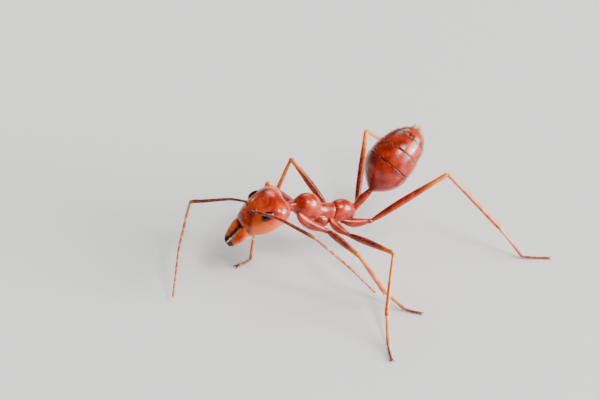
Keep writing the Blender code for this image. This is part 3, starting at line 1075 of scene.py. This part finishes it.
coxa_unit = unit("coxa_unit", [
    (-0.34, 0.09, 0.09, 0.24), (-0.24, 0.14, 0.145, 0.18), (-0.08, 0.168, 0.18, 0.09),
    (0.12, 0.178, 0.192, 0.03), (0.32, 0.17, 0.182, 0.0), (0.52, 0.146, 0.154, -0.005),
    (0.7, 0.116, 0.122), (0.8, 0.098, 0.102), (0.84, 0.07, 0.075)],
    painted=lambda spot: 0.8 * ramp(spot.z, 0.72, 0.82))
trochanter_unit = unit("trochanter_unit", [
    (0.78, 0.055, 0.055), (0.82, 0.085, 0.085), (0.89, 0.1, 0.104), (0.96, 0.094, 0.098),
    (1.02, 0.075, 0.08), (1.05, 0.05, 0.05)],
    painted=lambda spot: 0.7 * ramp(spot.z, 0.97, 1.03) + 0.5 * ramp(spot.z, 0.84, 0.80))
femur_unit = unit("femur_unit", [
    (0.005, 0.055, 0.055), (0.025, 0.082, 0.085), (0.09, 0.098, 0.105), (0.22, 0.118, 0.132, 0.008),
    (0.42, 0.124, 0.142, 0.016), (0.6, 0.112, 0.126, 0.014), (0.78, 0.092, 0.1, 0.008),
    (0.9, 0.082, 0.088, 0.002), (0.955, 0.086, 0.096), (0.99, 0.078, 0.088), (1.01, 0.045, 0.05)],
    painted=lambda spot: 0.9 * ramp(spot.z, 0.62, 0.95))
tibia_unit = unit("tibia_unit", [
    (-0.012, 0.03, 0.03), (0.004, 0.058, 0.06), (0.022, 0.068, 0.072), (0.05, 0.056, 0.058),
    (0.085, 0.058, 0.06, 0.004), (0.25, 0.07, 0.072, 0.012), (0.5, 0.08, 0.082, 0.014),
    (0.75, 0.084, 0.086, 0.008), (0.92, 0.086, 0.09), (0.985, 0.08, 0.084), (1.0, 0.05, 0.05)],
    painted=lambda spot: max(0.6 * ramp(spot.z, 0.07, 0.01), 0.75 * ramp(spot.z, 0.88, 0.99)))
shank_unit = unit("basitarsus_unit", [
    (-0.015, 0.03, 0.03), (0.01, 0.046, 0.046), (0.06, 0.042, 0.043), (0.3, 0.048, 0.05),
    (0.65, 0.052, 0.055), (0.93, 0.06, 0.064), (0.985, 0.054, 0.058), (1.0, 0.03, 0.03)],
    sides=12, painted=lambda spot: ramp(spot.z, 0.55, 1.0))
toe_unit = unit("tarsomere_unit", [
    (-0.06, 0.02, 0.02), (0.0, 0.034, 0.036), (0.25, 0.036, 0.038), (0.65, 0.044, 0.048),
    (0.9, 0.052, 0.056), (0.98, 0.044, 0.046), (1.02, 0.02, 0.02)],
    sides=12, levels=1, painted=lambda spot: 0.5 * ramp(spot.z, 0.6, 0.95))
print("femur faces:", len(femur_unit.data.polygons))


# %% Claws, pad and spur
def claw_pair():
    """Two curved claws and the soft pad between them, at the end of the last foot joint."""
    pieces = []
    for side in (1, -1):
        points = [(side * 0.020, 0.0, -0.02), (side * 0.040, 0.012, 0.05), (side * 0.062, 0.004, 0.11),
                  (side * 0.076, -0.022, 0.155), (side * 0.080, -0.052, 0.170)]
        claw = tube("claw", points, [0.022, 0.020, 0.015, 0.009, 0.0025], sides=2)
        mark(claw, lambda spot: ramp(spot.z, 0.0, 0.09))
        pieces.append(claw)
    pad = unit("pad", [
        (-0.01, 0.014, 0.014, -0.012), (0.02, 0.026, 0.022, -0.016), (0.06, 0.034, 0.022, -0.022),
        (0.095, 0.03, 0.018, -0.026), (0.115, 0.014, 0.009, -0.028)], painted=0.6, sides=12, levels=1)
    return join("claws_unit", pieces + [pad])


claws_unit = claw_pair()
spur_unit = tube("spur_unit", [
    (0, -0.05, -0.02), (0, -0.085, 0.06), (0, -0.095, 0.16), (0, -0.08, 0.25)],
    [0.014, 0.013, 0.009, 0.002], sides=2)
mark(spur_unit, 0.3)
print("unit shapes ready")


# %% [markdown]
# The joints are read from the CAD: two neighbouring solids face each other across a cut, and the
# joint is midway between their caps. The feet come down from the last joint to the floor, and the
# claws and pads touch it.

# %% Joints, and copies laid between them
def joint(first, second):
    """The point midway between the nearest caps of two neighbouring solids."""
    pairs = [(a, b) for a, _ in caps(first, 3) for b, _ in caps(second, 5)]
    near = min(pairs, key=lambda pair: (pair[0] - pair[1]).length)
    return (near[0] + near[1]) / 2


def place_unit(shape, start, end, name, thick=1.0, keep_length=False):
    """A copy of a unit shape, laid from start to end."""
    part = copy_of(shape, name)
    length = 1.0 if keep_length else (end - start).length / MM
    move_by(part, limb_frame(start, end) @ Matrix.Diagonal((thick, thick, length, 1)))
    return part


# %% Six legs
ANKLE_HEIGHT = 0.105
TOE_SHARES = (0.33, 0.23, 0.17, 0.27)
TOE_HEIGHTS = (0.080, 0.062, 0.058, 0.060)
CLAW_REACH = 0.17
ROOT_REACH = {"fore": 0.16, "mid": 0.0, "hind": 0.0}
PAIR_SIZE = {"fore": (1.06, 1.04), "mid": (0.92, 0.98), "hind": (0.96, 1.0)}
limb_lies = {}
for pair in ("fore", "mid", "hind"):
    for side in ("left", "right"):
        leg = pair + "_" + side
        body_thick, limb_thick = PAIR_SIZE[pair]
        hip_joint = cap_near("femur_" + leg, middle_of("coxa_" + leg))
        knee = joint("femur_" + leg, "tibia_" + leg)
        shin_end = joint("tibia_" + leg, "basitarsus_" + leg)
        ankle = joint("basitarsus_" + leg, "toes_" + leg)
        toe_tip = cap_far("toes_" + leg, ankle)
        root = cap_far("coxa_" + leg, hip_joint)
        ankle.z = ANKLE_HEIGHT * MM
        root += (root - hip_joint) * ROOT_REACH[pair]
        coxa = join("coxa_plate_" + leg, [
            place_unit(coxa_unit, root, hip_joint, "coxa", body_thick),
            place_unit(trochanter_unit, root, hip_joint, "trochanter", body_thick)])
        finish(coxa, shells["red_shell"], "coxa_" + leg)
        femur = place_unit(femur_unit, hip_joint, knee, "femur_shell_" + leg, limb_thick)
        finish(femur, shells["leg_shell"], "femur_" + leg)
        tibia = join("tibia_shell_" + leg, [
            place_unit(tibia_unit, knee, shin_end, "tibia", limb_thick),
            place_unit(spur_unit, shin_end, shin_end * 2 - knee, "spur", limb_thick, keep_length=True)])
        finish(tibia, shells["shin_shell"], "tibia_" + leg)
        shank = place_unit(shank_unit, shin_end, ankle, "basitarsus_shell_" + leg, limb_thick)
        finish(shank, shells["shin_shell"], "basitarsus_" + leg)
        flat = toe_tip - ankle
        flat.z = 0
        reach = flat.length - CLAW_REACH * MM
        heading = flat.normalized()
        at = ankle
        toes = []
        for share, height in zip(TOE_SHARES, TOE_HEIGHTS):
            onward = at + heading * reach * share
            onward.z = height * MM
            toes.append(place_unit(toe_unit, at, onward, "toe", limb_thick))
            at = onward
        toes = join("toes_shell_" + leg, toes)
        finish(toes, shells["toe_shell"], "toes_" + leg)
        claws = place_unit(claws_unit, at, at + heading, "claws_" + leg, keep_length=True)
        lowest = min(vertex.co.z for vertex in claws.data.vertices)
        move_by(claws, Matrix.Translation((0, 0, -lowest)))
        finish(claws, shells["toe_shell"])
        limb_lies[leg] = {
            "coxa_plate_": (hip_joint - root).normalized(),
            "femur_shell_": (knee - hip_joint).normalized(),
            "tibia_shell_": (shin_end - knee).normalized(),
            "basitarsus_shell_": (ankle - shin_end).normalized(),
            "toes_shell_": heading}
        print(leg, "reach", round(reach / MM, 2), "claws dropped by", round(lowest / MM, 3))
for shape in (
        coxa_unit, trochanter_unit, femur_unit, tibia_unit, shank_unit, toe_unit, claws_unit, spur_unit):
    bpy.data.objects.remove(shape)


# %% [markdown]
# ## The feelers
# A feeler has a long first segment, the scape, and a whip of eleven short ones. The scape follows the
# bends of its CAD solid, found by slicing the solid across. One whip segment is modelled, and copies
# of it are strung along the whip, the first one much longer than the rest.


# %% Middle line of a solid
def box_of(places):
    """The lowest and the highest corner of the box round some places."""
    return (Vector([least(place[axis] for place in places) for axis in range(3)]) for least in (min, max))


def centreline(node, start, end, count):
    """Points along the middle of a solid, from cuts across the line between two places."""
    mesh = nodes[node].data
    along = (end - start).normalized()
    span = (end - start).length
    points = []
    for step in range(count):
        level = span * (step + 0.5) / count
        hits = []
        for edge in mesh.edges:
            a, b = (mesh.vertices[index].co for index in edge.vertices)
            low, high = (a - start).dot(along), (b - start).dot(along)
            if (low - level) * (high - level) < 0:
                hits.append(a.lerp(b, (level - low) / (high - low)))
        if hits:
            low, high = box_of(hits)
            points.append((low + high) / 2)
    return points


# %% Scapes and whips
segment_unit = unit("segment_unit", [
    (-0.05, 0.018, 0.018), (0.0, 0.034, 0.034), (0.12, 0.043, 0.043), (0.5, 0.047, 0.047),
    (0.84, 0.053, 0.053), (0.95, 0.049, 0.049), (1.01, 0.026, 0.026)],
    sides=12, levels=1, painted=lambda spot: 0.8 * ramp(spot.z, 0.82, 0.97) + 0.5 * ramp(spot.z, 0.10, 0.0))
WHIP_SHARES = [0.205, 0.088, 0.086, 0.084, 0.082, 0.080, 0.078, 0.075, 0.072, 0.068, 0.082]
WHIP_THICK, WHIP_TAPER = 1.08, 0.012
# The scape starts as a ball in its socket, with a thin neck, before it follows the solid.
SCAPE_BASE = (-0.02, 0.03, 0.10)
SCAPE_BASE_HALF = [0.070, 0.045, 0.040]
SHAFT_HALF, SHAFT_SWELL, ELBOW_HALF = 0.050, 0.020, 0.062
BASE_REACH = 0.45
SCAPE_CUTS, WHIP_CUTS = 9, 12
feeler_lies = {}
for side, sign in (("left", 1), ("right", -1)):
    scape_node, whip_node = "scape_" + side, "funiculus_" + side
    elbow = joint(scape_node, whip_node)
    centre, normal = sockets[sign]
    base = [head_place @ (centre + normal * lift) for lift in SCAPE_BASE]
    path = centreline(scape_node, base[0], elbow, SCAPE_CUTS)
    path = [point for point in path if (point - base[0]).length > BASE_REACH * MM]
    points = [point / MM for point in base + path + [elbow]]
    shaft = [SHAFT_HALF + SHAFT_SWELL * step / (len(path) - 1) for step in range(len(path))]
    radii = SCAPE_BASE_HALF + shaft + [ELBOW_HALF]
    scape = tube("scape_shell_" + side, points, radii, sides=4, resolution=6)
    mark(scape, lambda spot: 0.6 * ramp((spot - points[-1]).length, 0.30, 0.05))
    move_by(scape, Matrix.Scale(MM, 4))
    finish(scape, shells["scape_shell"], scape_node)
    tip = cap_far(whip_node, elbow)
    bend = centreline(whip_node, elbow, tip, WHIP_CUTS)
    route = [elbow] + bend[1:-1] + [tip]
    runs = [(b - a).length for a, b in zip(route, route[1:])]
    total = sum(runs)

    def along_whip(share):
        """The point at this share of the whip's length."""
        left_over = share * total
        for a, b, run in zip(route, route[1:], runs):
            if left_over <= run:
                return a.lerp(b, left_over / run)
            left_over -= run
        return route[-1]

    done = 0.0
    beads = []
    for place, share in enumerate(WHIP_SHARES):
        start, end = along_whip(done), along_whip(min(1.0, done + share))
        done += share
        beads.append(place_unit(segment_unit, start, end, "bead", WHIP_THICK - WHIP_TAPER * place))
    whip = join("whip_" + side, beads)
    finish(whip, shells["feeler_shell"], whip_node)
    feeler_lies["scape_shell_" + side] = (elbow - base[0]).normalized()
    feeler_lies["whip_" + side] = (tip - elbow).normalized()
    print(side, "scape", round((elbow - base[0]).length / MM, 2), "mm, whip", round(total / MM, 2), "mm")
bpy.data.objects.remove(segment_unit)


# %% [markdown]
# ## The hairs
# Fine amber hairs lie along the plates, stand over the jaws and make a short fur on the legs. Pale
# ones line the hind rims of the gaster, stand in a tuft at its tip and cover the feelers. One hair is
# a bent three-sided spike of seven faces. Copies of it are set on each skin at seeded random places,
# one object for each region, because single hairs would be thousands of objects. Their UV map puts
# each hair at its root's place on an unwrap of the skin round its long axis.

# %% Roots of the hairs
def blend(values, corners, shares):
    """The mean of three corners' values, in these shares."""
    return sum((values[index] * share for index, share in zip(corners, shares)), Vector())


def unwrap(corners):
    """A function that gives a place's spot, 0 to 1 each way, on an unwrap round the long axis."""
    low, high = box_of(corners)
    middle, size = (low + high) / 2, high - low
    long_axis = max(range(3), key=lambda axis: size[axis])
    side_a, side_b = [axis for axis in range(3) if axis != long_axis]

    def spot_of(root):
        off = root - middle
        turn = math.atan2(off[side_a], off[side_b]) / (2 * math.pi) + 0.5
        return turn, (root[long_axis] - low[long_axis]) / size[long_axis]
    return spot_of


def fan_triangles(mesh):
    """The mesh's triangles as (corners, area), in order of place, because their numbers can vary."""
    places = [tuple(round(value / MM, 4) for value in vertex.co) for vertex in mesh.vertices]
    found = []
    for face in mesh.polygons:
        loop = list(face.vertices)
        first = min(range(len(loop)), key=lambda index: places[loop[index]])
        loop = loop[first:] + loop[:first]
        for second, third in zip(loop[1:], loop[2:]):
            corners = (loop[0], second, third)
            found.append((tuple(places[corner] for corner in corners), corners))
    return [
        (corners, area_tri(*(mesh.vertices[corner].co for corner in corners)))
        for _, corners in sorted(found)]


# %% One hair
HAIR_SPINE = ((0.0, 0.0, 1.0), (0.10, 0.55, 0.72), (0.38, 1.0, 0.0))
HAIR_FACES = ((0, 1, 4, 3), (3, 4, 6), (1, 2, 5, 4), (4, 5, 6), (2, 0, 3, 5), (5, 3, 6), (2, 1, 0))
HAIR_SINK = 0.5
HAIR_BEND, HAIR_CURL = 0.6, 0.15


def hair_points(root, out, flow, rise, bend, tall, radius):
    """The seven corners of one hair: three at the skin, three half way up, and the tip."""
    across = out.cross(flow)
    points = []
    for forward, up, thick in HAIR_SPINE:
        spot = root + rise * tall * up + bend * tall * forward
        if up == 0:
            spot -= out * radius * HAIR_SINK
        if thick == 0:
            points.append(spot)
            continue
        for corner in range(3):
            turn = 2 * math.pi * corner / 3
            ring = across * math.cos(turn) + rise.cross(across) * math.sin(turn)
            points.append(spot + ring * radius * thick)
    return points


# %% A field of hairs
HAIR_PATCH = 0.0015
HAIR_SPREAD = ((-1, -1), (0, -1), (1, -1), (-1, 0), (0, 0), (1, 0), (0, 1))
HAIR_SWAY = 0.35
HAIR_SHORTEST, HAIR_LONGEST = 0.65, 1.2
LEAST_FLOW = 0.05
FLOOR_GAP = 0.01 * MM
ROOT_GAP = 0.02 * MM
BED_MARGIN = 0.02


def hair_field(name, beds, material, seed):
    """One mesh of hairs. Each bed is (skin, count, length, radius, lie, lean), and where they may grow."""
    chance = random.Random(seed)
    vertices, faces, uvs = [], [], []
    columns = math.ceil(math.sqrt(len(beds)))
    for number, bed in enumerate(beds):
        skin, count, length, radius, lie, lean, where = (*bed, None)[:7]
        mesh = bpy.data.objects[skin].data
        triangles = fan_triangles(mesh)
        corners = [vertex.co for vertex in mesh.vertices]
        normals = [vertex.normal for vertex in mesh.vertices]
        spot_of = unwrap(corners)
        for tri, _ in chance.choices(triangles, [area for _, area in triangles], k=count):
            share_a, share_b = chance.random(), chance.random()
            if share_a + share_b > 1:
                share_a, share_b = 1 - share_a, 1 - share_b
            shares = (1 - share_a - share_b, share_a, share_b)
            root = blend(corners, tri, shares)
            out = blend(normals, tri, shares).normalized()
            flow = lie - out * lie.dot(out)
            if (where and not where(root, out)) or flow.length < LEAST_FLOW:
                continue
            flow.normalize()
            flow = (flow + out.cross(flow) * chance.uniform(-HAIR_SWAY, HAIR_SWAY)).normalized()
            rise = (out * (1 - lean) + flow * lean).normalized()
            bend = flow * (1 - lean) * HAIR_BEND + flow * HAIR_CURL
            tall = length * chance.uniform(HAIR_SHORTEST, HAIR_LONGEST) * MM
            if (root + (rise + bend) * tall).z < FLOOR_GAP or root.z < ROOT_GAP:
                continue
            start = len(vertices)
            vertices += hair_points(root, out, flow, rise, bend, tall, radius * MM)
            faces += [[start + corner for corner in face] for face in HAIR_FACES]
            uvs.append([
                (cell + BED_MARGIN + (1 - 2 * BED_MARGIN) * share) / columns
                for cell, share in zip((number % columns, number // columns), spot_of(root))])
    mesh = bpy.data.meshes.new(name)
    mesh.from_pydata(vertices, [], faces)
    layer = mesh.uv_layers.new(name="OFBake")
    for loop in mesh.loops:
        hair, corner = divmod(loop.vertex_index, len(HAIR_SPREAD))
        layer.data[loop.index].uv = [
            middle + way * HAIR_PATCH for middle, way in zip(uvs[hair], HAIR_SPREAD[corner])]
    coat = bpy.data.objects.new(name, mesh)
    bpy.context.scene.collection.objects.link(coat)
    with editing(coat):
        bpy.ops.mesh.normals_make_consistent(inside=False)
    bpy.ops.object.shade_smooth()
    mark(coat)
    finish(coat, material)
    print(name, len(uvs), "hairs,", len(uvs) * 10, "triangles")


# %% Hair colours, and where hairs grow
hair_gold = chitin("hair_gold", (0.62, 0.30, 0.10), (0.88, 0.60, 0.32), (0.5, 0.2, 0.05), 0.45, 0.2)
hair_amber = chitin("hair_amber", (0.50, 0.13, 0.015), (0.78, 0.34, 0.08), (0.5, 0.2, 0.05), 0.45, 0.2)
BACKWARD = Vector((0, 1, 0))
to_head = head_place.inverted()
TUFT_REACH = 0.34
RIM_REACH = 0.07
BROW_START, BROW_LOWEST = 1.45, -0.25
print("hair materials:", hair_gold.name, hair_amber.name)


def near_tip(root, out):
    """Whether a root is close to the tip of the gaster."""
    return (root - gaster_tip).length < TUFT_REACH * MM


def near_rim(number):
    """Whether a root is close to the hind edge of this gaster ring."""
    rim = seams[number] * gaster_length
    return lambda root, out: (gaster_place.inverted() @ root).z > rim - RIM_REACH


def brow(root, out):
    """Whether a root is on the front of the face, over the jaws."""
    spot = to_head @ root
    return spot.z > BROW_START and spot.y > BROW_LOWEST


# %% Hairs of the body
hair_field("hairs_gaster", [
    ("gaster_1_ring", 800, 0.070, 0.0016, tail_way, 0.72),
    ("gaster_2_ring", 800, 0.075, 0.0016, tail_way, 0.66),
    ("gaster_3_ring", 650, 0.085, 0.0017, tail_way, 0.60),
    ("gaster_4_ring", 420, 0.110, 0.0022, tail_way, 0.50),
], hair_amber, seed=11)
hair_field("hairs_tail", [
    ("gaster_2_ring", 1500, 0.075, 0.0024, tail_way, 0.78, near_rim(2)),
    ("gaster_3_ring", 1500, 0.110, 0.0032, tail_way, 0.74, near_rim(3)),
    ("gaster_4_ring", 420, 0.340, 0.0062, tail_way, 0.42, near_tip),
    ("acidopore", 70, 0.190, 0.0060, tail_way, 0.70),
], hair_gold, seed=16)
hair_field("hairs_head", [
    ("head_capsule", 1100, 0.050, 0.0013, -head_forward, 0.80),
    ("head_capsule", 420, 0.090, 0.0020, head_forward, 0.60, brow),
    ("toothed_mandible_left", 120, 0.060, 0.0015, head_forward, 0.65),
    ("toothed_mandible_right", 120, 0.060, 0.0015, head_forward, 0.65),
    ("lower_lip", 90, 0.110, 0.0026, head_forward, 0.45),
], hair_amber, seed=12)
hair_field("hairs_thorax", [
    ("pronotum_plate", 700, 0.055, 0.0015, BACKWARD, 0.72),
    ("mesothorax_plate", 450, 0.055, 0.0015, BACKWARD, 0.72),
    ("propodeum_plate", 600, 0.060, 0.0016, BACKWARD, 0.70),
    ("petiole_node", 320, 0.055, 0.0016, BACKWARD, 0.70),
], hair_amber, seed=13)

# %% Hairs of the limbs
limb_beds = []
for leg, lies in limb_lies.items():
    for part, count, length, lean in (
            ("coxa_plate_", 120, 0.050, 0.75), ("femur_shell_", 320, 0.050, 0.80),
            ("tibia_shell_", 420, 0.055, 0.74), ("basitarsus_shell_", 240, 0.055, 0.70),
            ("toes_shell_", 240, 0.055, 0.60)):
        limb_beds.append((part + leg, count, length, 0.0016, lies[part], lean))
hair_field("hairs_legs", limb_beds, hair_amber, seed=14)
feeler_beds = []
for side in ("left", "right"):
    for part, count in (("scape_shell_", 380), ("whip_", 1100)):
        skin = part + side
        feeler_beds.append((skin, count, 0.038, 0.0016, feeler_lies[skin], 0.72))
hair_field("hairs_feelers", feeler_beds, hair_gold, seed=15)
